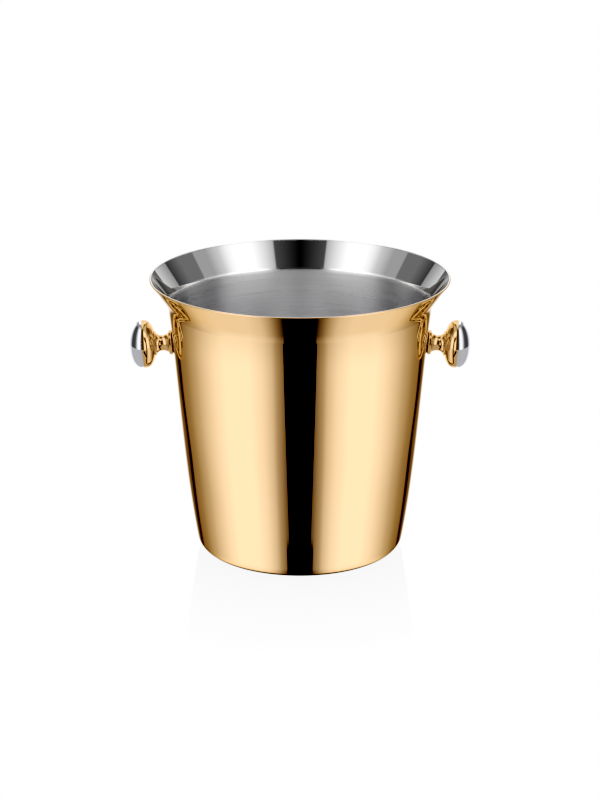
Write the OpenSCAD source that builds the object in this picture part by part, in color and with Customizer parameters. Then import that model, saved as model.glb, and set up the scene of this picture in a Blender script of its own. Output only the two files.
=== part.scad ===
// Champagne bucket: a spun sheet-steel bucket with a flared mouth and two turned side knobs.
// Millimetres, +Z up. The origin is the centre of the face that the bucket stands on.
// Each knob is a stack on one axis: cap, back shell, boss, neck, gasket, wall, seal, washer, screw.

/* [Bucket] */
// Diameter over the rim
rim_d = 220; // [210:1:230]
// Height of the rim above the table
height = 208; // [204:1:220]
// Thickness of the sheet
wall_t = 1; // [0.8:0.1:1.4]
// Outer diameter of the flat ring that the bucket stands on
base_flat_d = 133.4; // [128:0.2:138]
// Outside radius of the corner between base and wall
corner_r = 10.4; // [8:0.1:13]
// Lean of the wall from upright where it leaves the base corner, in degrees
lean_at_base = 10.2; // [8:0.1:11]
// Lean of the wall from upright where it meets the flare, in degrees
lean_at_flare = 6.5; // [5:0.1:8]
// Diameter at which the wall line and the flare line cross
flare_corner_d = 193.6; // [190:0.2:197]
// Height at which the wall line and the flare line cross
flare_corner_z = 188.9; // [186:0.1:191]
// Outside radius of the bend between wall and flare
bend_r = 15; // [10:0.5:18]
// Diameter of the rounded lip along the rim
lip_d = 1.4; // [1.4:0.1:2.4]
// Diameter of the flat middle of the base, which is pressed upwards
recess_d = 92; // [60:1:100]
// Height of the pressed middle of the base
recess_h = 2; // [1:0.1:3]

/* [Knobs] */
// Height at which a knob's axis meets the outside of the wall
knob_z = 157.5; // [150:0.5:162]
// How far a knob's axis dips below level, in degrees
knob_dip = 3.6; // [2.5:0.1:5]
// Largest diameter of a knob
knob_d = 35.2; // [32:0.2:38]
// Distance along the axis from the wall to the widest part of a knob
knob_widest = 21.6; // [21:0.1:21.8]
// Depth of a knob in front of its widest part
knob_front = 11; // [10:0.1:12]
// Depth of the curve behind a knob's widest part
knob_rear = 9.1; // [8.8:0.1:9.6]
// Distance along the axis from the wall to the seam between cap and back shell
seam_s = 21.9; // [21.7:0.1:22.6]
// Thickness of the cap
cap_t = 0.8; // [0.6:0.1:1.2]
// Thickness of the back shell
back_t = 1.2; // [1:0.1:1.6]
// Length of the sleeve with which the cap sits inside the back shell
sleeve_l = 2.4; // [1.5:0.1:3]

/* [Necks] */
// Diameter of the collar at the wall and of the ring at the knob
collar_d = 17.8; // [16:0.2:18]
// Diameter at the narrowest place of a neck
waist_d = 11.2; // [9:0.2:13]
// Distance along the axis from the wall to the far face of the ring
neck_end = 13.9; // [13.6:0.1:14.2]
// Length of the hollow curve between collar and ring
cove_l = 9.6; // [8:0.1:9.8]
// Radius of the larger roundings on collar and ring
collar_round = 0.7; // [0.3:0.1:0.8]

/* [Fixings] */
// Thread diameter of a screw
screw_d = 5; // [4:1:5]
// Length of a screw under its head
screw_l = 25; // [24:1:26]
// Diameter of a screw's pan head
head_d = 9.5; // [8:0.1:10]
// Height of a screw's pan head
head_h = 3.7; // [3:0.1:4]
// Diameter of a steel washer
washer_d = 10; // [9:0.5:12]
// Thickness of a steel washer
washer_t = 1; // [0.8:0.1:1.2]
// Diameter of the seal under a washer
seal_d = 12; // [11:0.5:14]
// Thickness of a seal at its middle
seal_t = 1; // [0.8:0.1:1.4]
// Diameter of the gasket between neck and wall
gasket_d = 15.6; // [14:0.2:16]
// Thickness of a gasket at its middle
gasket_t = 0.7; // [0.5:0.1:0.9]
// Outer diameter of the threaded boss in a knob
boss_d = 9; // [8:0.5:10]

/* [Hidden] */
$fn = 96;
wall_fn = 480;             // finer, where a thin gasket or seal takes its shape from the wall

LEFT = 180;                // turn about Z that puts a knob on the -X side
RIGHT = 0;
clearance_d = screw_d + 0.5;
lip_r = lip_d / 2;
press_r = 4;               // radius of both bends of the pressed base middle
knob_power = 2.2;          // power of a knob's curves, 2 would be an ellipse
cove_round = 0.3;          // small rounding where the hollow curve meets collar and ring
recess_depth = 2.4;        // depth of the cross recess in a screw head
recess_span = 4.6;         // width of the cross recess over its arms
recess_arm = 1.2;          // width of one arm of the cross recess
boss_end = 29;             // distance along the axis from the wall to the front of the boss
boss_flange_d = 14;
boss_flange_t = 1.5;

// ---- helpers -------------------------------------------------------------------------------

// Points of an arc round [r, z] centre c, from angle a0 to angle a1, in n steps
function arc(c, radius, a0, a1, n) =
    [for (i = [0 : n]) let (a = a0 + (a1 - a0) * i / n) c + radius * [cos(a), sin(a)]];

// Point of a cubic curve with the four control points p, at t from 0 to 1
function cubic(p, t) =
    pow(1 - t, 3) * p[0] + 3 * pow(1 - t, 2) * t * p[1] + 3 * (1 - t) * t * t * p[2] + pow(t, 3) * p[3];

// Unit direction that leans outwards from upright by an angle
function leaning(angle) = [sin(angle), cos(angle)];

function unit(v) = v / norm(v);

// The outline p moved to its left by distance d, along the mean direction of its two neighbours
function offset_left(p, d) =
    [for (i = [0 : len(p) - 1])
        let (t = unit(p[min(i + 1, len(p) - 1)] - p[max(i - 1, 0)])) p[i] + d * [-t[1], t[0]]];

function reversed(p) = [for (i = [len(p) - 1 : -1 : 0]) p[i]];

// ---- outline of the bucket -----------------------------------------------------------------

// Pressed middle of the base: two bends of the same radius carry it up to the flat middle
press_turn = acos(1 - recess_h / (2 * press_r));
press_w = 2 * press_r * sin(press_turn);
press_points = concat(
    [[0, recess_h]],
    arc([recess_d / 2, recess_h - press_r], press_r, 90, 90 - press_turn, 5),
    arc([recess_d / 2 + press_w, press_r], press_r, 270 - press_turn, 270, 5));

// Corner between the standing ring and the wall
corner_points = arc([base_flat_d / 2, corner_r], corner_r, 270, 360 - lean_at_base, 10);
wall_start = corner_points[len(corner_points) - 1];

// Flare: a cone from the bend to the lip, whose middle line ends in the lip's centre
lip_centre = [rim_d / 2 - lip_r, height - lip_r];
flare_corner = [flare_corner_d / 2, flare_corner_z];
flare_lean = atan2(lip_centre[0] - flare_corner[0], lip_centre[1] - flare_corner[1]);
flare_side = [cos(flare_lean), -sin(flare_lean)];
flare_end = lip_centre + flare_side * wall_t / 2;
flare_angle = atan2(flare_end[0] - flare_corner[0], flare_end[1] - flare_corner[1]);

// Wall: a gently barrelled curve up to the bend
bend_tangent = bend_r * tan((flare_angle - lean_at_flare) / 2);
wall_end = flare_corner - bend_tangent * leaning(lean_at_flare);
wall_chord = norm(wall_end - wall_start);
wall_handle = 0.31 * wall_chord;
wall_curve = [wall_start, wall_start + wall_handle * leaning(lean_at_base),
              wall_end - wall_handle * leaning(lean_at_flare), wall_end];
wall_points = [for (i = [1 : 23]) cubic(wall_curve, i / 24)];

// Bend between wall and flare
bend_centre = wall_end + bend_r * [cos(lean_at_flare), -sin(lean_at_flare)];
bend_points = arc(bend_centre, bend_r, 180 - lean_at_flare, 180 - flare_angle, 8);

outside = concat(press_points, corner_points, wall_points, bend_points, [flare_end]);
inside_all = offset_left(outside, wall_t);
inside = [for (p = inside_all) [max(p[0], 0), p[1]]];

// Lip: most of a circle, between the points where the flare's two faces run into it
lip_bite = asin(wall_t / lip_d);
lip_points = concat(
    arc(lip_centre, lip_r, -90 - flare_lean + lip_bite, 0, 6),
    arc(lip_centre, lip_r, 15, 90, 5),
    arc(lip_centre, lip_r, 105, 270 - flare_lean - lip_bite, 5));

outside_solid_outline = concat(outside, [[0, flare_end[1]]]);
inside_solid_outline = concat(inside, [[0, inside[len(inside) - 1][1]]]);

// ---- knob axis -----------------------------------------------------------------------------

// Radius of the outside of the wall at height z
function wall_r(z, i = 0) =
    outside[i + 1][1] >= z && outside[i + 1][0] > base_flat_d / 2
        ? outside[i][0] + (outside[i + 1][0] - outside[i][0])
            * (z - outside[i][1]) / (outside[i + 1][1] - outside[i][1])
        : wall_r(z, i + 1);

// Puts what is built along +Z onto a knob's axis, with its zero on the outside of the wall
module on_side(turn) {
    rotate([0, 0, turn]) translate([wall_r(knob_z), 0, knob_z]) rotate([0, 90 + knob_dip, 0]) children();
}

// A cylinder along the axis from s0 to s1
module rod(d, s0, s1) {
    translate([0, 0, s0]) cylinder(d = d, h = s1 - s0);
}

// Point of the curve behind the widest part of a knob, for a shell t smaller, a from 0 to 90
function rear_point(t, a) =
    [(knob_d / 2 - t) * pow(cos(a), 2 / knob_power),
     knob_widest - (knob_rear - t) * pow(sin(a), 2 / knob_power)];

// Point of the curve in front of the widest part, a from 0 at the widest part to 90 at the tip
function front_point(t, a) =
    [(knob_d / 2 - t) * pow(cos(a), 2 / knob_power),
     knob_widest + (knob_front - t) * pow(sin(a), 2 / knob_power)];

// Angle at which the front curve passes the distance s along the axis
function front_angle(t, s) = asin(pow((s - knob_widest) / (knob_front - t), knob_power / 2));

// Angle at which the rear curve passes the distance s along the axis
function rear_angle(t, s) = asin(pow((knob_widest - s) / (knob_rear - t), knob_power / 2));

function front_curve(t, s, n) = let (a0 = front_angle(t, s))
    [for (i = [0 : n]) front_point(t, a0 + (90 - a0) * i / n)];

function rear_curve(t, s, n) = let (a0 = rear_angle(t, s))
    [for (i = [0 : n]) rear_point(t, a0 * (1 - i / n))];

// ---- sub-parts -----------------------------------------------------------------------------

module bucket_body() {
    color("goldenrod") difference() {
        rotate_extrude() polygon(concat(outside, lip_points, reversed(inside)));
        for (turn = [LEFT, RIGHT]) on_side(turn) rod(clearance_d, -4, 2);
    }
}

module neck() {
    r = collar_d / 2;
    cove_mid = neck_end - 1.4 - cove_l / 2;
    cove_depth = r - cove_round - waist_d / 2;
    cove = [for (i = [0 : 16]) let (a = 180 * i / 16)
        [r - cove_round - cove_depth * sin(a), cove_mid - cove_l / 2 * cos(a)]];
    color("gold") rotate_extrude() polygon(concat(
        [[clearance_d / 2, gasket_t]],
        arc([r - collar_round, gasket_t + collar_round], collar_round, -90, 0, 5),
        arc([r - cove_round, cove[0][1] - cove_round], cove_round, 0, 90, 3),
        [for (i = [1 : 15]) cove[i]],
        arc([r - cove_round, cove[16][1] + cove_round], cove_round, -90, 0, 3),
        arc([r - collar_round, neck_end - collar_round], collar_round, 0, 90, 5),
        [[clearance_d / 2, neck_end]]));
}

module knob_back() {
    seat_r = boss_flange_d / 2;
    seat_s = neck_end + back_t;
    color("gold") rotate_extrude() polygon(concat(
        [[boss_d / 2, neck_end]],
        rear_curve(0, neck_end, 14),
        [front_point(0, front_angle(0, (knob_widest + seam_s) / 2)), front_point(0, front_angle(0, seam_s))],
        [front_point(back_t, front_angle(back_t, seam_s))],
        reversed(rear_curve(back_t, seat_s, 12)),
        [[boss_d / 2, seat_s]]));
}

module knob_boss() {
    seat_s = neck_end + back_t;
    color("dimgray") rotate_extrude() polygon([
        [screw_d / 2, neck_end], [boss_d / 2, neck_end], [boss_d / 2, seat_s],
        [boss_flange_d / 2, seat_s], [boss_flange_d / 2, seat_s + boss_flange_t],
        [boss_d / 2, seat_s + boss_flange_t], [boss_d / 2, boss_end], [screw_d / 2, boss_end]]);
}

module knob_cap() {
    sleeve_r = rear_point(back_t, rear_angle(back_t, seam_s - sleeve_l))[0];
    inner = front_curve(cap_t, seam_s + cap_t, 14);
    color("silver") rotate_extrude() polygon(concat(
        [[sleeve_r - cap_t, seam_s - sleeve_l], [sleeve_r, seam_s - sleeve_l], [sleeve_r, seam_s]],
        front_curve(0, seam_s, 16),
        reversed([for (p = inner) if (p[0] < sleeve_r - cap_t) p]),
        [[sleeve_r - cap_t, seam_s + cap_t]]));
}

module outer_gasket() {
    color("black") difference() {
        rod(gasket_d, -2, gasket_t);
        rod(clearance_d, -3, gasket_t + 1);
        from_wall() rotate_extrude($fn = wall_fn) polygon(outside_solid_outline);
    }
}

module inner_seal() {
    color("dimgray") difference() {
        intersection() {
            rod(seal_d, -wall_t - seal_t, 1);
            from_wall() rotate_extrude($fn = wall_fn) polygon(inside_solid_outline);
        }
        rod(clearance_d, -wall_t - seal_t - 1, 2);
    }
}

module inner_washer() {
    color("lightgray") difference() {
        rod(washer_d, -wall_t - seal_t - washer_t, -wall_t - seal_t);
        rod(clearance_d, -wall_t - seal_t - washer_t - 1, 0);
    }
}

module screw() {
    under_head = -wall_t - seal_t - washer_t;
    head_top = under_head - head_h;
    crown_r = (pow(head_d / 2, 2) + pow(head_h / 2, 2)) / head_h;
    color("lightgray") difference() {
        union() {
            rod(screw_d, under_head, under_head + screw_l);
            intersection() {
                rod(head_d, head_top, under_head);
                translate([0, 0, head_top + crown_r]) sphere(r = crown_r);
            }
        }
        for (turn = [0, 90]) rotate([0, 0, turn])
            translate([-recess_span / 2, -recess_arm / 2, head_top - 1])
                cube([recess_span, recess_arm, recess_depth + 1]);
    }
}

// Brings the bucket's own axes into the frame of a knob's axis
module from_wall() {
    rotate([0, -90 - knob_dip, 0]) translate([-wall_r(knob_z), 0, -knob_z]) children();
}

bucket_body();
on_side(LEFT) knob_cap();  // left_knob_cap
on_side(LEFT) knob_back();  // left_knob_back
on_side(LEFT) knob_boss();  // left_knob_boss
on_side(LEFT) neck();  // left_neck
on_side(LEFT) outer_gasket();  // left_outer_gasket
on_side(LEFT) inner_seal();  // left_inner_seal
on_side(LEFT) inner_washer();  // left_inner_washer
on_side(LEFT) screw();  // left_screw
on_side(RIGHT) knob_cap();  // right_knob_cap
on_side(RIGHT) knob_back();  // right_knob_back
on_side(RIGHT) knob_boss();  // right_knob_boss
on_side(RIGHT) neck();  // right_neck
on_side(RIGHT) outer_gasket();  // right_outer_gasket
on_side(RIGHT) inner_seal();  // right_inner_seal
on_side(RIGHT) inner_washer();  // right_inner_washer
on_side(RIGHT) screw();  // right_screw
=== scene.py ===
"""Looks for the champagne bucket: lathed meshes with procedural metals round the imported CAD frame."""

from math import acos, asin, atan2, cos, pi, radians, sin, tan

import bmesh
import bpy
from mathutils import Matrix, Vector


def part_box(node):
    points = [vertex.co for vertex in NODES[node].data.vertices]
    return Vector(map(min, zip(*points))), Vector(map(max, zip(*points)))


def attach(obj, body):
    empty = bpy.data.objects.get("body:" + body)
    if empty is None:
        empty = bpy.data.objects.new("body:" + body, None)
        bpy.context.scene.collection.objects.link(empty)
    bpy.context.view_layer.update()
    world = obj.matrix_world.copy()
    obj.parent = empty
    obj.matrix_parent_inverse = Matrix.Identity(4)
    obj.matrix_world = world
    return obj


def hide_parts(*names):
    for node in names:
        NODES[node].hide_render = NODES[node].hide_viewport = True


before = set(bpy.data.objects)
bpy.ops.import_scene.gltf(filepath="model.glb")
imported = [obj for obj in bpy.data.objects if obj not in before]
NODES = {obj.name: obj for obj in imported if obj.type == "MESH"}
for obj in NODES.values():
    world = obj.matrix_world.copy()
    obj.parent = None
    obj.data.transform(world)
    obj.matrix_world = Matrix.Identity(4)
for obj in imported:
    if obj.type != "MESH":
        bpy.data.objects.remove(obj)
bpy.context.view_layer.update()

MM = 0.001

# ---- sizes, in metres, as in the CAD model but for KNOB_FRONT --------------------------------

_, BUCKET_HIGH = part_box("bucket_body")
RIM_R = BUCKET_HIGH.y
HEIGHT = BUCKET_HIGH.z
WALL_T = 1.0 * MM
BASE_R = 66.7 * MM
CORNER_R = 10.4 * MM
LEAN_BASE = radians(10.2)
LEAN_FLARE = radians(6.5)
FLARE_CORNER = Vector((96.8 * MM, 188.9 * MM))
BEND_R = 15 * MM
LIP_R = 0.7 * MM
RECESS_R = 46 * MM
RECESS_H = 2 * MM
PRESS_R = 4 * MM
WALL_HANDLE = 0.31              # handles of the wall's curve, as a share of its length

KNOB_Z = 157.5 * MM
KNOB_DIP = radians(3.6)
KNOB_R = 17.6 * MM
KNOB_WIDEST = 21.6 * MM
KNOB_FRONT = 10.99 * MM         # 0.01 mm less than in the CAD, to stay inside its box
KNOB_REAR = 9.1 * MM
KNOB_POWER = 2.2                # 2 would make a knob's outline an ellipse
SEAM_S = 21.9 * MM
SEAM_CHAMFER = 0.12 * MM
CAP_T = 0.8 * MM
BACK_T = 1.2 * MM
SLEEVE_L = 2.4 * MM

COLLAR_R = 8.9 * MM
COLLAR_ROUND = 0.7 * MM
WAIST_R = 5.6 * MM
NECK_END = 13.9 * MM
COVE_L = 9.6 * MM
COVE_ROUND = 0.3 * MM
RING_T = 1.4 * MM

SCREW_R = 2.5 * MM
SCREW_L = 25 * MM
HEAD_R = 4.75 * MM
HEAD_H = 3.7 * MM
RECESS_ARM = 1.2 * MM
RECESS_SPAN = 4.6 * MM
RECESS_DEPTH = 2.4 * MM
WASHER_R = 5 * MM
WASHER_T = 1 * MM
SEAL_R = 6 * MM
SEAL_T = 1 * MM
GASKET_R = 7.8 * MM
GASKET_T = 0.7 * MM
HOLE_R = 2.75 * MM
BOSS_R = 4.5 * MM

EDGE = 0.15 * MM                # chamfer of a washer
TIP = 0.5 * MM                  # chamfer of a screw's tip
CLEAR = 0.5 * MM                # how far a cutter stands out of what it cuts
DRILL_FROM = -4 * MM            # the drill's reach along a knob's axis
DRILL_TO = 2 * MM

ROUND_BUCKET = 288              # segments round the bucket
ROUND_KNOB = 128                # segments round a knob's axis
ROUND_SCREW = 64
ROUND_DRILL = 48
CREASE = radians(32)            # faces that meet at more than this keep a sharp edge
ON_AXIS = 1e-7                  # an outline's points nearer than this lie on the axis
ON_FACE = 0.05 * MM             # a disc's points nearer than this belong to its flat face
WALL_ROUNDS = 12                # rounds of looking for the wall along a line


# ---- outlines --------------------------------------------------------------------------------

def arc(centre, radius, a0, a1, n):
    """Points of an arc round a 2-D centre, from angle a0 to a1 in radians, in n steps."""
    turns = (a0 + (a1 - a0) * i / n for i in range(n + 1))
    return [Vector((centre[0] + radius * cos(a), centre[1] + radius * sin(a))) for a in turns]


def line(a, b, n):
    """The n points after a on the way to b."""
    return [Vector(a).lerp(Vector(b), i / n) for i in range(1, n + 1)]


def cubic(p, t):
    """Point of a cubic curve with four control points."""
    u = 1 - t
    return u**3 * p[0] + 3 * u * u * t * p[1] + 3 * u * t * t * p[2] + t**3 * p[3]


def leaning(angle):
    """Unit direction that leans outwards from upright."""
    return Vector((sin(angle), cos(angle)))


def offset_left(points, distance):
    """The outline moved to its left by a distance."""
    out = []
    last = len(points) - 1
    for i, p in enumerate(points):
        t = (points[min(i + 1, last)] - points[max(i - 1, 0)]).normalized()
        out.append(p + distance * Vector((-t.y, t.x)))
    return out


def bucket_outlines():
    """Outside face from the middle of the base to the lip, the lip, and the inside face back down."""
    turn = acos(1 - RECESS_H / (2 * PRESS_R))
    width = 2 * PRESS_R * sin(turn)
    base = [Vector((0, RECESS_H))] + line((0, RECESS_H), (RECESS_R, RECESS_H), n=6)[:-1]
    base += arc((RECESS_R, RECESS_H - PRESS_R), PRESS_R, pi / 2, pi / 2 - turn, n=6)
    base += arc((RECESS_R + width, PRESS_R), PRESS_R, 1.5 * pi - turn, 1.5 * pi, n=6)[1:]
    base += line(base[-1], (BASE_R, 0), n=4)[:-1]
    corner = arc((BASE_R, CORNER_R), CORNER_R, 1.5 * pi, 2 * pi - LEAN_BASE, n=20)
    lip_centre = Vector((RIM_R - LIP_R, HEIGHT - LIP_R))
    lean = atan2(*(lip_centre - FLARE_CORNER))
    flare_end = lip_centre + Vector((cos(lean), -sin(lean))) * WALL_T / 2
    flare = atan2(*(flare_end - FLARE_CORNER))
    wall_end = FLARE_CORNER - BEND_R * tan((flare - LEAN_FLARE) / 2) * leaning(LEAN_FLARE)
    handle = WALL_HANDLE * (wall_end - corner[-1]).length
    curve = (corner[-1], corner[-1] + handle * leaning(LEAN_BASE),
             wall_end - handle * leaning(LEAN_FLARE), wall_end)
    wall_steps = 56
    wall = [cubic(curve, i / wall_steps) for i in range(1, wall_steps)]
    bend_centre = wall_end + BEND_R * Vector((cos(LEAN_FLARE), -sin(LEAN_FLARE)))
    bend = arc(bend_centre, BEND_R, pi - LEAN_FLARE, pi - flare, n=20)
    outside = base + corner + wall + bend + line(bend[-1], flare_end, n=8)
    inside = [Vector((max(p.x, 0), p.y)) for p in offset_left(outside, WALL_T)]
    bite = asin(WALL_T / (2 * LIP_R))
    lip = arc(lip_centre, LIP_R, -pi / 2 - lean + bite, 1.5 * pi - lean - bite, n=20)
    return outside, lip, inside


OUTSIDE, LIP, INSIDE = bucket_outlines()


def radius_at(outline, z):
    """Radius of the bucket's outside or inside face at height z, above the base corner."""
    for a, b in zip(outline, outline[1:]):
        if a.x > BASE_R and a.y <= z <= b.y:
            return a.x + (b.x - a.x) * (z - a.y) / (b.y - a.y)
    raise ValueError("no wall at that height")


def rear_point(t, a):
    """Behind the widest part of a knob, for a shell t smaller: (radius, distance along the axis)."""
    return Vector(((KNOB_R - t) * max(cos(a), 0) ** (2 / KNOB_POWER),
                   KNOB_WIDEST - (KNOB_REAR - t) * sin(a) ** (2 / KNOB_POWER)))


def front_point(t, a):
    """In front of the widest part of a knob, from a = 0 there to a right angle at the tip."""
    return Vector(((KNOB_R - t) * max(cos(a), 0) ** (2 / KNOB_POWER),
                   KNOB_WIDEST + (KNOB_FRONT - t) * sin(a) ** (2 / KNOB_POWER)))


def front_angle(t, s):
    """The angle at which front_point lies s along the axis."""
    return asin(((s - KNOB_WIDEST) / (KNOB_FRONT - t)) ** (KNOB_POWER / 2))


def rear_angle(t, s):
    """The angle at which rear_point lies s along the axis."""
    return asin(((KNOB_WIDEST - s) / (KNOB_REAR - t)) ** (KNOB_POWER / 2))


# ---- mesh building ---------------------------------------------------------------------------

def knob_frame(side):
    """Matrix from a knob's own axes (z outwards along its axis) to the row frame; side is +1 or -1."""
    start = Matrix.Translation((radius_at(OUTSIDE, KNOB_Z), 0, KNOB_Z))
    turn = Matrix.Rotation(0 if side > 0 else pi, 4, "Z")
    return turn @ start @ Matrix.Rotation(pi / 2 + KNOB_DIP, 4, "Y")


SIDES = {"left": knob_frame(-1), "right": knob_frame(1)}


def lathe(name, outline, segments, closed, slots=None, place=Matrix.Identity(4)):
    """Turns an outline of (radius, height) points round the axis. Closed outlines are rings with a
    hole; open ones start and end on the axis. slots gives each outline step's material index."""
    bm = bmesh.new()
    rings = []
    for p in outline:
        if p[0] < ON_AXIS:
            rings.append([bm.verts.new((0, 0, p[1]))])
        else:
            rings.append([bm.verts.new((p[0] * cos(2 * pi * k / segments),
                                        p[0] * sin(2 * pi * k / segments), p[1]))
                          for k in range(segments)])
    steps = len(rings) if closed else len(rings) - 1
    for i in range(steps):
        a, b = rings[i], rings[(i + 1) % len(rings)]
        for k in range(segments):
            j = (k + 1) % segments
            corners = [a[k % len(a)], a[j % len(a)], b[j % len(b)], b[k % len(b)]]
            face = bm.faces.new(list(dict.fromkeys(corners)))
            face.smooth = True
            face.material_index = slots[i] if slots else 0
    bmesh.ops.recalc_face_normals(bm, faces=bm.faces)
    bm.transform(place)
    return new_object(name, bm)


def new_object(name, bm):
    """An object in the scene, from a mesh under construction."""
    mesh = bpy.data.meshes.new(name)
    bm.to_mesh(mesh)
    bm.free()
    obj = bpy.data.objects.new(name, mesh)
    bpy.context.scene.collection.objects.link(obj)
    return obj


def sharpen(obj):
    """Smooth shading, with a crease wherever two faces meet at a real edge."""
    obj.data.shade_smooth()
    obj.data.set_sharp_from_angle(angle=CREASE)


def apply_modifiers(obj):
    """Turns what the modifiers make into the object's own mesh."""
    evaluated = obj.evaluated_get(bpy.context.evaluated_depsgraph_get())
    mesh = bpy.data.meshes.new_from_object(evaluated)
    obj.modifiers.clear()
    obj.data = mesh


def cut(obj, tools):
    """Cuts the tools' shapes out of obj and removes them."""
    for tool in tools:
        mod = obj.modifiers.new("cut", "BOOLEAN")
        mod.object = tool
        mod.operation = "DIFFERENCE"
        mod.solver = "EXACT"
    apply_modifiers(obj)
    for tool in tools:
        bpy.data.objects.remove(tool)


PIECES = []


def finish_piece(obj, node, materials):
    """Gives a piece its materials, puts it under the root body, and hides the CAD node it stands for."""
    for material in materials:
        obj.data.materials.append(material)
    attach(obj, "root")
    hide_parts(node)
    PIECES.append(obj)


# ---- node helpers ----------------------------------------------------------------------------

class Graph:
    """A short way to write a shader's nodes."""

    def __init__(self, tree):
        self.tree = tree
        tree.nodes.clear()

    def node(self, kind, **inputs):
        """Adds a node. A keyword sets a property, or an input by its name, or by number as i0, i1..."""
        made = self.tree.nodes.new(kind)
        for key, value in inputs.items():
            if key in made.bl_rna.properties:
                setattr(made, key, value)
            else:
                self.feed(made.inputs[int(key[1:]) if key[0] == "i" and key[1:].isdigit()
                                      else key.replace("_", " ")], value)
        return made

    def feed(self, socket, value):
        """Links a socket to an input, or sets the input's constant."""
        if isinstance(value, bpy.types.NodeSocket):
            self.tree.links.new(value, socket)
        else:
            socket.default_value = value

    def math(self, operation, *values):
        """The result of a maths node."""
        made = self.tree.nodes.new("ShaderNodeMath")
        made.operation = operation
        for socket, value in zip(made.inputs, values):
            self.feed(socket, value)
        return made.outputs[0]

    def mix(self, factor, a, b):
        """a where the factor is 0, b where it is 1."""
        made = self.tree.nodes.new("ShaderNodeMix")
        for socket, value in zip(made.inputs, (factor, None, a, b)):
            if value is not None:
                self.feed(socket, value)
        return made.outputs[0]

    def step(self, value, start, end):
        """0 before start, 1 after end, smooth between."""
        made = self.node("ShaderNodeMapRange", interpolation_type="SMOOTHSTEP", Value=value,
                         From_Min=start, From_Max=end)
        return made.outputs[0]

    def bands(self, heading, stops):
        """A ramp over a quarter turn, with its stops in degrees."""
        return self.ramp(heading, [(angle / 90, grey) for angle, grey in stops])

    def ramp(self, factor, stops):
        """Stops are (position, grey or colour)."""
        made = self.tree.nodes.new("ShaderNodeValToRGB")
        elements = made.color_ramp.elements
        while len(elements) < len(stops):
            elements.new(0.5)
        for element, (position, colour) in zip(elements, stops):
            element.position = position
            rgb = colour if isinstance(colour, tuple) else (colour,) * 3
            element.color = (*rgb, 1)
        self.feed(made.inputs[0], factor)
        return made.outputs[0]

    def place(self):
        """Where a point lies in its object's own metres."""
        return self.node("ShaderNodeTexCoord").outputs["Object"]

    def noise(self, place, scale, detail):
        """Soft random patches, scale of them in a metre."""
        return self.node("ShaderNodeTexNoise", Vector=place, Scale=scale, Detail=detail).outputs[0]

    def emission(self, grey):
        """A flat grey that no light changes."""
        return self.node("ShaderNodeEmission", Color=(grey, grey, grey, 1), Strength=1.0)

    def show(self, shader, output="ShaderNodeOutputMaterial"):
        """Makes the shader what the material or the world shows."""
        self.tree.links.new(shader.outputs[0], self.node(output).inputs[0])


def new_material(name):
    """A material, and the graph to write its nodes with."""
    material = bpy.data.materials.new(name)
    material.use_nodes = True
    return material, Graph(material.node_tree)


def principled(g, **inputs):
    """Shows a Principled shader with these inputs."""
    g.show(g.node("ShaderNodeBsdfPrincipled", **inputs))


# ---- materials -------------------------------------------------------------------------------

GOLD = (0.95, 0.63, 0.36, 1)
GOLD_EDGE = (0.976, 0.786, 0.549, 1)        # keeps the gold as deep at a glancing angle
PALE = (0.72, 0.7, 0.67)                    # gold met in another mirror, so its tint counts once
GOLD_PAINTED_SHADE = 0.8                        # painted shade: the gold's colour at the rim, darkened to this share of the wall's
# heights over which the gold's painted shade fades in
PAINTED_SHADE_FROM = 160 * MM
PAINTED_SHADE_TO = 196 * MM
CHROME = (0.87, 0.875, 0.91, 1)
STEEL = (0.85, 0.85, 0.86, 1)
BRUSHED = (0.8, 0.8, 0.81, 1)
UNTINTED = (1, 1, 1, 1)

# scales are in patches per metre, and spreads are the darkest patch's share of colour lost
POLISHED_MOTTLE = {"scale": 22.0, "spread": 0.015}
MIRROR_MOTTLE = {"scale": 60.0, "spread": 0.02}
PLAIN_MOTTLE = {"scale": 500.0, "spread": 0.15}
HAZE_SCALE = 35.0
HAZE_SPREAD = 0.3                           # how far a polished piece's roughness strays
BRUSH_LINES = 1100.0                        # lines per metre across the brushing
BRUSH_STREAKS = 4.0                         # streaks per metre along it
BRUSH_ROUGH = (0.24, 0.34)
BRUSH_DARK = 0.9                            # the darkest line, as a share of the steel's colour
PLAIN_GRAIN = 900.0


def mottled(g, place, colour, scale, spread):
    """The colour, a little darker in patches."""
    noise = g.noise(place, scale, 5.0)
    darker = tuple(c * (1 - spread) for c in colour[:3])
    return g.ramp(noise, [(0.35, darker), (0.65, colour[:3])])


def tinted_once(g, colour):
    """The colour, but pale where another piece mirrors it."""
    mirrored = g.node("ShaderNodeLightPath").outputs["Is Glossy Ray"]
    return g.node("ShaderNodeMix", data_type="RGBA", i0=mirrored, i6=colour, i7=(*PALE, 1)).outputs[2]


def polished(name, colour, edge, rough, painted_shade=1.0):
    """Mirror-polished metal with a faint haze where the buffing wheel lingered. Towards the rim its
    colour is multiplied by the last factor: a painted shade that darkens the gold there."""
    material, g = new_material(name)
    place = g.place()
    height = g.node("ShaderNodeSeparateXYZ", Vector=place).outputs["Z"]
    # painted shade: towards the rim the colour is darkened by this factor
    depth = g.mix(g.step(height, PAINTED_SHADE_FROM, PAINTED_SHADE_TO), 1.0, painted_shade)
    haze = g.noise(place, HAZE_SCALE, 4.0)
    low, high = rough * (1 - HAZE_SPREAD), rough * (1 + HAZE_SPREAD)
    roughness = g.node("ShaderNodeMapRange", Value=haze, To_Min=low, To_Max=high).outputs[0]
    rim_shaded = g.node("ShaderNodeVectorMath", operation="SCALE", Scale=depth,
                    i0=mottled(g, place, colour, **POLISHED_MOTTLE)).outputs[0]
    tint = tinted_once(g, rim_shaded)
    principled(g, Base_Color=tint, Metallic=1.0, Roughness=roughness, Specular_Tint=edge)
    return material


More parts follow.
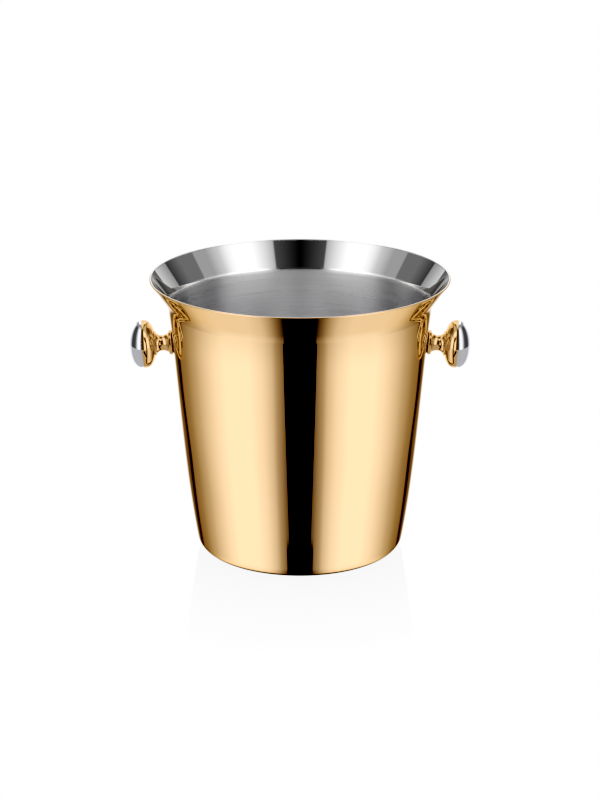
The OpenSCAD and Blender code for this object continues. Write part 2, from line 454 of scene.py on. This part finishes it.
def mirror(name, colour, edge):
    """Small turned parts, buffed until the reflections are sharp."""
    material, g = new_material(name)
    place = g.place()
    tint = tinted_once(g, mottled(g, place, colour, **MIRROR_MOTTLE))
    principled(g, Base_Color=tint, Metallic=1.0, Roughness=0.0, Specular_Tint=edge)
    return material


def brushed(name, colour):
    """Steel brushed round the bucket's axis: rings on the base, level lines on the wall."""
    material, g = new_material(name)
    place = g.place()
    x, y, z = g.node("ShaderNodeSeparateXYZ", Vector=place).outputs
    radius = g.math("SQRT", g.math("ADD", g.math("MULTIPLY", x, x), g.math("MULTIPLY", y, y)))
    across = g.math("MULTIPLY", g.math("ADD", radius, z), BRUSH_LINES)
    along = g.node("ShaderNodeCombineXYZ", X=g.math("MULTIPLY", x, BRUSH_STREAKS),
                   Y=g.math("MULTIPLY", y, BRUSH_STREAKS), Z=across).outputs[0]
    grain = g.node("ShaderNodeTexNoise", Vector=along, Scale=1.0, Detail=4.0, Roughness=0.6).outputs[0]
    tint = g.ramp(grain, [(0.3, tuple(c * BRUSH_DARK for c in colour[:3])), (0.7, colour[:3])])
    roughness = g.node("ShaderNodeMapRange", Value=grain, To_Min=BRUSH_ROUGH[0],
                       To_Max=BRUSH_ROUGH[1]).outputs[0]
    bump = g.node("ShaderNodeBump", Strength=0.12, Distance=0.0002, Height=grain).outputs[0]
    tangent = g.node("ShaderNodeTangent", direction_type="RADIAL", axis="Z").outputs[0]
    principled(g, Base_Color=tint, Metallic=1.0, Roughness=roughness, Anisotropic=0.75,
               Anisotropic_Rotation=0.25, Tangent=tangent, Normal=bump)
    return material


def plain(name, colour, rough, metallic=0.0):
    """Rubber, silicone and the hidden fixings: a fine grain in the surface and in its colour."""
    material, g = new_material(name)
    place = g.place()
    noise = g.noise(place, PLAIN_GRAIN, 3.0)
    bump = g.node("ShaderNodeBump", Strength=0.2, Distance=0.0001, Height=noise).outputs[0]
    tint = mottled(g, place, colour, **PLAIN_MOTTLE)
    principled(g, Base_Color=tint, Metallic=metallic, Roughness=rough, Normal=bump)
    return material


gold = polished("polished_gold", GOLD, GOLD_EDGE, rough=0.035, painted_shade=GOLD_PAINTED_SHADE)
knob_gold = mirror("turned_gold", GOLD, GOLD_EDGE)
chrome = mirror("polished_chrome", CHROME, UNTINTED)
lip_steel = polished("polished_lip", STEEL, UNTINTED, rough=0.06)
flare_steel = polished("mirror_steel", STEEL, UNTINTED, rough=0.03)
wall_steel = brushed("brushed_steel", BRUSHED)
rubber = plain("brown_rubber", (0.16, 0.1, 0.06, 1), rough=0.6)
silicone = plain("grey_silicone", (0.4, 0.4, 0.38, 1), rough=0.5)
fixing_steel = plain("bright_fixings", (0.6, 0.6, 0.6, 1), rough=0.3, metallic=1.0)
boss_brass = plain("turned_brass", (0.6, 0.42, 0.18, 1), rough=0.3, metallic=1.0)


# ---- pieces ----------------------------------------------------------------------------------

BODY_METALS = [gold, lip_steel, flare_steel, wall_steel]
GOLD_SLOT, LIP_SLOT, FLARE_SLOT, WALL_SLOT = range(4)
GOLD_ON_LIP = 0.45              # how far the gold reaches round the lip, as a share of its steps
FLARE_ON_LIP = 2                # the lip's last steps, polished like the flare
BRUSHED_BELOW = 1.2 * MM        # from the flare's corner down to where the brushing starts


def bucket_slots(outline):
    """The metal of each step along the bucket's outline."""
    flare_start = len(OUTSIDE) + len(LIP)
    brushed_z = FLARE_CORNER.y - BRUSHED_BELOW
    wall_start = next(i for i, p in enumerate(outline) if i > flare_start and p.y < brushed_z)
    lip_start, lip_end = len(OUTSIDE) + len(LIP) * GOLD_ON_LIP, flare_start - FLARE_ON_LIP
    return [GOLD_SLOT if i < lip_start else LIP_SLOT if i < lip_end else FLARE_SLOT if i < wall_start
            else WALL_SLOT for i in range(len(outline) - 1)]


def make_bucket():
    """The sheet-steel body, with a hole on each knob's axis."""
    outline = OUTSIDE + LIP[1:] + INSIDE[::-1][1:]
    body = lathe("bucket_shell", outline, ROUND_BUCKET, False, bucket_slots(outline))
    drill = [(0, DRILL_FROM), (HOLE_R, DRILL_FROM), (HOLE_R, DRILL_TO), (0, DRILL_TO)]
    cut(body, [lathe("drill", drill, ROUND_DRILL, False, place=place) for place in SIDES.values()])
    sharpen(body)
    finish_piece(body, "bucket_body", BODY_METALS)


def make_neck(side, place):
    """The turned spool between wall and knob."""
    cove_mid = NECK_END - RING_T - COVE_L / 2
    depth = COLLAR_R - COVE_ROUND - WAIST_R
    steps = 40
    turns = [pi * i / steps for i in range(steps + 1)]
    cove = [Vector((COLLAR_R - COVE_ROUND - depth * sin(a), cove_mid - COVE_L / 2 * cos(a))) for a in turns]
    outline = [Vector((HOLE_R, GASKET_T))]
    outline += arc((COLLAR_R - COLLAR_ROUND, GASKET_T + COLLAR_ROUND), COLLAR_ROUND, -pi / 2, 0, n=10)
    outline += arc((COLLAR_R - COVE_ROUND, cove[0].y - COVE_ROUND), COVE_ROUND, 0, pi / 2, n=6)
    outline += cove[1:-1]
    outline += arc((COLLAR_R - COVE_ROUND, cove[-1].y + COVE_ROUND), COVE_ROUND, -pi / 2, 0, n=6)
    outline += arc((COLLAR_R - COLLAR_ROUND, NECK_END - COLLAR_ROUND), COLLAR_ROUND, 0, pi / 2, n=10)
    outline += [Vector((HOLE_R, NECK_END))]
    neck = lathe(f"{side}_turned_neck", outline, ROUND_KNOB, True, place=place)
    sharpen(neck)
    finish_piece(neck, f"{side}_neck", [knob_gold])


def make_knob_back(side, place):
    """The gold shell behind the seam."""
    seat = NECK_END + BACK_T
    a0, a1 = rear_angle(0, NECK_END), rear_angle(BACK_T, seat)
    edge = front_angle(0, SEAM_S - SEAM_CHAMFER)
    rear_steps, front_steps, inside_steps = 40, 4, 30
    outline = [Vector((BOSS_R, NECK_END))]
    outline += [rear_point(0, a0 * (1 - i / rear_steps)) for i in range(rear_steps + 1)]
    outline += [front_point(0, edge * i / front_steps) for i in range(1, front_steps + 1)]
    outline += [front_point(0, front_angle(0, SEAM_S)) - Vector((SEAM_CHAMFER, 0))]
    outline += [front_point(BACK_T, front_angle(BACK_T, SEAM_S))]
    outline += [rear_point(BACK_T, a1 * i / inside_steps) for i in range(inside_steps + 1)]
    outline += [Vector((BOSS_R, seat))]
    shell = lathe(f"{side}_knob_shell", outline, ROUND_KNOB, True, place=place)
    sharpen(shell)
    finish_piece(shell, f"{side}_knob_back", [knob_gold])


def make_knob_cap(side, place):
    """The chrome dome, with the sleeve that sits inside the back shell."""
    sleeve_r = rear_point(BACK_T, rear_angle(BACK_T, SEAM_S - SLEEVE_L)).x
    a0 = front_angle(0, SEAM_S + SEAM_CHAMFER)
    b0 = front_angle(CAP_T, SEAM_S + CAP_T)
    outer_steps, inner_steps = 48, 36
    outer = [front_point(0, a0 + (pi / 2 - a0) * i / outer_steps) for i in range(outer_steps + 1)]
    inner = [front_point(CAP_T, b0 + (pi / 2 - b0) * i / inner_steps) for i in range(inner_steps + 1)]
    inner = [p for p in inner if p.x < sleeve_r - CAP_T]
    outline = inner[::-1] + [Vector((sleeve_r - CAP_T, SEAM_S + CAP_T)),
                             Vector((sleeve_r - CAP_T, SEAM_S - SLEEVE_L)),
                             Vector((sleeve_r, SEAM_S - SLEEVE_L)), Vector((sleeve_r, SEAM_S)),
                             front_point(0, front_angle(0, SEAM_S)) - Vector((SEAM_CHAMFER, 0))] + outer
    cap = lathe(f"{side}_chrome_cap", outline, ROUND_KNOB, False, place=place)
    sharpen(cap)
    finish_piece(cap, f"{side}_knob_cap", [chrome])


def onto_wall(outline, place, x, y):
    """Distance along the knob's axis at which the line through (x, y) meets a face of the wall."""
    s = 0.0
    for _ in range(WALL_ROUNDS):
        p = place @ Vector((x, y, s))
        s += radius_at(outline, p.z) - p.xy.length
    return s


def fit_to_wall(obj, outline, place, flat_s):
    """Moves the rings on the wall side of a flat disc, those not at flat_s, onto the wall's face."""
    back = place.inverted()
    for vertex in obj.data.vertices:
        p = back @ vertex.co
        if abs(p.z - flat_s) > ON_FACE:
            p.z = onto_wall(outline, place, p.x, p.y)
            vertex.co = place @ p


def make_gasket(side, place):
    """The thin dark ring between collar and wall."""
    outline = [(HOLE_R, 0), (HOLE_R, GASKET_T), (GASKET_R, GASKET_T), (GASKET_R, 0)]
    outline += [(HOLE_R + (GASKET_R - HOLE_R) * i / 6, 0) for i in range(5, 0, -1)]
    gasket = lathe(f"{side}_gasket_ring", outline, ROUND_KNOB, True, place=place)
    fit_to_wall(gasket, OUTSIDE, place, GASKET_T)
    sharpen(gasket)
    finish_piece(gasket, f"{side}_outer_gasket", [rubber])


def make_seal(side, place):
    """The soft ring between wall and washer, inside the bucket."""
    flat = -WALL_T - SEAL_T
    outline = [(HOLE_R, flat), (SEAL_R, flat), (SEAL_R, 0)]
    outline += [(HOLE_R + (SEAL_R - HOLE_R) * i / 5, 0) for i in range(4, -1, -1)]
    seal = lathe(f"{side}_seal_ring", outline, ROUND_KNOB, True, place=place)
    fit_to_wall(seal, INSIDE, place, flat)
    sharpen(seal)
    finish_piece(seal, f"{side}_inner_seal", [silicone])


def make_washer(side, place):
    """The flat steel ring under the screw's head."""
    top = -WALL_T - SEAL_T
    low = top - WASHER_T
    outline = [(HOLE_R, low), (WASHER_R - EDGE, low), (WASHER_R, low + EDGE),
               (WASHER_R, top - EDGE), (WASHER_R - EDGE, top), (HOLE_R, top)]
    washer = lathe(f"{side}_steel_washer", outline, ROUND_KNOB, True, place=place)
    sharpen(washer)
    finish_piece(washer, f"{side}_inner_washer", [fixing_steel])


def make_screw(side, place):
    """M5 pan-head screw with a cross recess. Its shank is smooth: the neck and the boss hide it."""
    under = -WALL_T - SEAL_T - WASHER_T
    top = under - HEAD_H
    crown_r = (HEAD_R**2 + (HEAD_H / 2) ** 2) / HEAD_H
    crown_angle = asin(HEAD_R / crown_r)
    end = under + SCREW_L
    steps = 16
    turns = [crown_angle * i / steps for i in range(1, steps + 1)]
    outline = [Vector((0, top))]
    outline += [Vector((crown_r * sin(a), top + crown_r * (1 - cos(a)))) for a in turns]
    outline += [Vector((HEAD_R, under)), Vector((SCREW_R, under))]
    outline += [Vector((SCREW_R, end - TIP)), Vector((SCREW_R - TIP, end)), Vector((0, end))]
    screw = lathe(f"{side}_pan_head_screw", outline, ROUND_SCREW, False, place=place)
    arms = []
    for turn in (0, pi / 2):
        bm = bmesh.new()
        bmesh.ops.create_cube(bm, size=1)
        bm.transform(place @ Matrix.Translation((0, 0, top + RECESS_DEPTH / 2 - CLEAR))
                     @ Matrix.Rotation(turn, 4, "Z")
                     @ Matrix.Diagonal((RECESS_SPAN, RECESS_ARM, RECESS_DEPTH + 2 * CLEAR, 1)))
        arms.append(new_object("recess", bm))
    cut(screw, arms)
    sharpen(screw)
    finish_piece(screw, f"{side}_screw", [fixing_steel])


def dress_boss(side):
    """The CAD's own threaded boss, in brass."""
    boss = NODES[f"{side}_knob_boss"]
    boss.data.materials.clear()
    boss.data.materials.append(boss_brass)


make_bucket()
for side_name, side_place in SIDES.items():
    make_neck(side_name, side_place)
    make_knob_back(side_name, side_place)
    make_knob_cap(side_name, side_place)
    make_gasket(side_name, side_place)
    make_seal(side_name, side_place)
    make_washer(side_name, side_place)
    make_screw(side_name, side_place)
    dress_boss(side_name)


# ---- the light tent --------------------------------------------------------------------------
# A mirror shows the camera the direction that its normal halves. So the tent is laid out by that
# normal: its heading, in degrees from the camera's side, and its lean, in degrees below level.

TENT_VIEW = radians(16.5)       # how far the camera looks down on the upper wall

# For the wall: a gap at the camera, a big soft panel on each side, and the dim room behind.
WALL_BANDS = [(0, 0), (4.4, 0), (5, 0.1), (10, 0.4), (12, 0.65), (16, 0.95), (22, 1.2), (34, 1.2), (40, 1.0),
              (52, 0.5), (60, 0.3), (66, 0.25), (67, 0.05), (70, 0.05), (71, 0.15), (78, 0.25), (90, 0.6)]
# For the flare's outside: the same panels, a little dimmer, and a wider gap.
FLARE_BANDS = [(0, 0), (6.4, 0), (7, 0.1), (10, 0.3), (16, 0.85), (22, 1.05), (38, 1.05), (46, 0.9),
               (58, 0.3), (64, 0.1), (68, 0.1), (76, 0.35), (90, 0.8)]
# For the flare's inside: panels with sharp edges overhead.
TENT_BANDS = [(0, 0.05), (10.5, 0.13), (11, 0.45), (14, 0.7), (20, 1.15), (28, 1.15), (31, 1.0), (35, 0.6),
              (41, 0.35), (47.5, 0.35), (48, 0.2), (57, 0.2), (67, 0.1), (67.5, 0.3), (79.5, 0.6), (80, 0.15),
              (90, 0.25)]
# For the inside of the wall: the same panels, seen level.
LEVEL_BANDS = [(0, 0.1), (9, 0.1), (12, 0.5), (15, 1.2), (19, 1.7), (30, 1.7), (36, 1.1), (42, 0.75),
               (90, 0.7)]
# For the knobs, above the table's edge and below it.
KNOB_BANDS = [(0, 0.1), (7, 0.1), (11, 1.0), (22, 1.08), (30, 0.45), (38, 0.12), (56, 0.1), (61, 0.25),
              (71, 1.0), (90, 1.1)]
TABLE_BANDS = [(0, 0.42), (35, 0.45), (58, 0.42), (66, 0.8), (72, 1.0), (90, 1.1)]

# Where one light gives way to the next: spans of lean, in degrees below level.
SPREAD_LEANS = (9.8, 6.6)       # up the wall, where its panels spread a little
SPREAD = 0.955
FLARE_LEANS = (10, 36)          # from the wall to the flare's outside
GAP_LEANS = (10.2, 11.5)        # from the wall's gap to the wider one
WIDE_GAP = (6.4 / 90, 7.2 / 90)     # its edge, as headings in quarter turns
FOOT_LEANS = (38, 50)           # from the flare's outside to the foot
FOOT = 0.05
OUTSIDE_LEANS = (-1, 1)         # from the inside to the outside
LEVEL_LEANS = (-24, -13)        # from the flare's inside to the wall's
OVERHEAD_LEANS = (-42, -48)     # from the flare's inside to the base
OVERHEAD = 1.15
KNOB_SIDE_LEANS = (-3, -1)      # from the knobs' upper half to the lower
KNOB_DIM_LEANS = (-50, -62)     # from the knobs' panels to a dim band above them
KNOB_DIM = 0.3
KNOB_LAMP_LEANS = (-66, -74)    # and on to a lamp straight overhead
KNOB_LAMP = 3.0
KNOB_TABLE_LEANS = (50, 60)     # under the knobs, from the table's far parts to the near ones
KNOB_TABLE = 1.0

BEHIND = 0.9                    # the soft light on the room's far side
BEHIND_EDGE = (radians(20), radians(10))    # how far it reaches to each side
BEHIND_LOW = (-0.6, -0.3)       # and how far down, as the height of a direction of length 1
TENT_STRENGTH = 1.05


# ---- camera, floor and light -----------------------------------------------------------------

CAMERA_DISTANCE = 1.8           # from the middle of the rim
CAMERA_ELEVATION = radians(15.22)
CAMERA_PITCH = radians(18.106)
CAMERA_LENS = 110.7
CAMERA_SENSOR = 36

CARD_NEAR = 91 * MM             # from the bucket's axis to the card's near edge
CARD_HALF = 10 * MM             # half the card's width there
CARD_SPREAD, CARD_CURVE = 0.21, 0.2     # how it widens with the distance, and with its square
CARD_ROW, CARD_ROWS = 30 * MM, 13

FLOOR_SIZE = 6
# how clear the table is to the painted reflection below it, by distance in metres from the bucket's axis
FLOOR_CLEAR = [(0.066, 0.125), (0.085, 0.1), (0.115, 0.067), (0.15, 0.047), (0.185, 0.024), (0.213, 0.0)]
# the flat glowing grey of the painted reflection
PAINTED_REFLECTION_GREY = 0.25

TONES = [(0.05, 0.001), (0.1, 0.0395), (0.2, 0.174), (0.3, 0.309), (0.5, 0.546), (0.8, 0.837)]


def make_camera():
    """Looks down on the rim from the front."""
    data = bpy.data.cameras.new("camera")
    data.sensor_width = CAMERA_SENSOR
    data.lens = CAMERA_LENS
    camera = bpy.data.objects.new("camera", data)
    camera.location = (0, -CAMERA_DISTANCE * cos(CAMERA_ELEVATION),
                       HEIGHT + CAMERA_DISTANCE * sin(CAMERA_ELEVATION))
    camera.rotation_euler = (pi / 2 - CAMERA_PITCH, 0, 0)
    bpy.context.scene.collection.objects.link(camera)
    bpy.context.scene.camera = camera


def bucket_light(g, heading, lean):
    """What the bucket's metal sees."""
    wall = g.bands(g.math("MULTIPLY", heading, g.mix(g.step(lean, *SPREAD_LEANS), 1.0, SPREAD)), WALL_BANDS)
    flare = g.mix(g.step(lean, *FOOT_LEANS), g.bands(heading, FLARE_BANDS), FOOT)
    gap = g.mix(g.step(lean, *GAP_LEANS), 1.0, g.step(heading, *WIDE_GAP))
    outside = g.math("MULTIPLY", g.mix(g.step(lean, *FLARE_LEANS), wall, flare), gap)
    inside = g.mix(g.step(lean, *OVERHEAD_LEANS), g.bands(heading, TENT_BANDS), OVERHEAD)
    inside = g.mix(g.step(lean, *LEVEL_LEANS), inside, g.bands(heading, LEVEL_BANDS))
    return g.mix(g.step(lean, *OUTSIDE_LEANS), inside, outside)


def knob_light(g, heading, lean):
    """What the metal of knobs and necks sees."""
    tent = g.mix(g.step(lean, *KNOB_DIM_LEANS), g.bands(heading, KNOB_BANDS), KNOB_DIM)
    tent = g.mix(g.step(lean, *KNOB_LAMP_LEANS), tent, KNOB_LAMP)
    table = g.mix(g.step(lean, *KNOB_TABLE_LEANS), g.bands(heading, TABLE_BANDS), KNOB_TABLE)
    return g.mix(g.step(lean, *KNOB_SIDE_LEANS), tent, table)


def behind_light(g, direction):
    """1 on the room's far side, 0 elsewhere."""
    across, along, up = g.node("ShaderNodeSeparateXYZ", Vector=direction).outputs
    behind = g.step(g.math("ARCTAN2", g.math("ABSOLUTE", across), along), *BEHIND_EDGE)
    return g.math("MULTIPLY", behind, g.step(up, *BEHIND_LOW))


def make_world():
    """White to the camera, and a light tent to the metal: what it reflects depends on the direction.
    Only the metal of knobs and necks has no roughness at all, which tells its rays from the bucket's."""
    world = bpy.data.worlds.new("studio")
    world.use_nodes = True
    bpy.context.scene.world = world
    g = Graph(world.node_tree)
    direction = g.node("ShaderNodeTexCoord").outputs["Generated"]
    looking = (0, cos(TENT_VIEW), -sin(TENT_VIEW))
    normal = g.node("ShaderNodeVectorMath", operation="SUBTRACT", i0=direction, i1=looking).outputs[0]
    unit = g.node("ShaderNodeVectorMath", operation="NORMALIZE", i0=normal).outputs[0]
    x, y, z = g.node("ShaderNodeSeparateXYZ", Vector=unit).outputs
    heading = g.math("DIVIDE", g.math("ARCTAN2", g.math("ABSOLUTE", x), g.math("MULTIPLY", y, -1.0)), pi / 2)
    lean = g.math("MULTIPLY", g.math("ARCSINE", z), -180 / pi)

    path = g.node("ShaderNodeLightPath").outputs
    tent = g.mix(path["Is Singular Ray"], bucket_light(g, heading, lean), knob_light(g, heading, lean))
    seen = g.mix(behind_light(g, direction), tent, BEHIND)
    shown = g.node("ShaderNodeBackground", Color=seen, Strength=TENT_STRENGTH)
    white = g.node("ShaderNodeBackground", Color=(1, 1, 1, 1), Strength=1.0)
    both = g.node("ShaderNodeMixShader", i0=path["Is Camera Ray"], i1=shown.outputs[0], i2=white.outputs[0])
    g.show(both, "ShaderNodeOutputWorld")


def make_card():
    """A black card on the table in front, wider away from the bucket. Only mirrors see it: it is the dark
    gap down the middle of the wall."""
    bm = bmesh.new()
    sides = []
    for i in range(CARD_ROWS):
        away = i * CARD_ROW
        half = CARD_HALF + CARD_SPREAD * away + CARD_CURVE * away**2
        y = -CARD_NEAR - away
        sides.append([bm.verts.new((-half, y, 0)), bm.verts.new((half, y, 0))])
    for a, b in zip(sides, sides[1:]):
        bm.faces.new((*a, *b[::-1]))
    card = new_object("card", bm)
    material, g = new_material("card")
    g.show(g.emission(0))
    card.data.materials.append(material)
    card.visible_camera = False
    card.visible_diffuse = False
    card.visible_shadow = False


def make_floor():
    """A white table that faintly shows what stands on it through a painted reflection: a flat glowing grey
    copy below it.
    """
    bm = bmesh.new()
    bmesh.ops.create_grid(bm, x_segments=1, y_segments=1, size=FLOOR_SIZE)
    floor = new_object("floor", bm)
    material, g = new_material("floor")
    away = g.node("ShaderNodeVectorMath", operation="LENGTH", i0=g.place()).outputs["Value"]
    clear = g.ramp(away, FLOOR_CLEAR)
    window = g.node("ShaderNodeBsdfTransparent")
    g.show(g.node("ShaderNodeMixShader", i0=clear, i1=g.emission(1).outputs[0], i2=window.outputs[0]))
    floor.data.materials.append(material)
    floor.visible_glossy = False


def make_floor_image():
    """Painted reflection: a flat glowing grey copy, upside down below the table. It shows only through the
    table.
    """
    bm = bmesh.new()
    for obj in PIECES:
        bm.from_mesh(obj.data)
    bm.transform(Matrix.Diagonal((1, 1, -1, 1)))
    image = new_object("floor_image", bm)
    material, g = new_material("floor_image")
    depth = g.node("ShaderNodeLightPath").outputs["Transparent Depth"]
    nothing = g.node("ShaderNodeBsdfTransparent")
    through = g.math("GREATER_THAN", depth, 0.5)
    grey = g.emission(PAINTED_REFLECTION_GREY)
    g.show(g.node("ShaderNodeMixShader", i0=through, i1=nothing.outputs[0], i2=grey.outputs[0]))
    image.data.materials.append(material)
    image.visible_glossy = False
    image.visible_diffuse = False


def set_tones():
    """A tone curve with a soft shoulder and a deep toe, on the combined channel."""
    view = bpy.context.scene.view_settings
    view.view_transform = "Standard"
    view.use_curve_mapping = True
    curve = view.curve_mapping.curves[-1]
    for x, y in TONES:
        curve.points.new(x, y)
    view.curve_mapping.update()


make_camera()
make_world()
make_card()
make_floor()
make_floor_image()
set_tones()
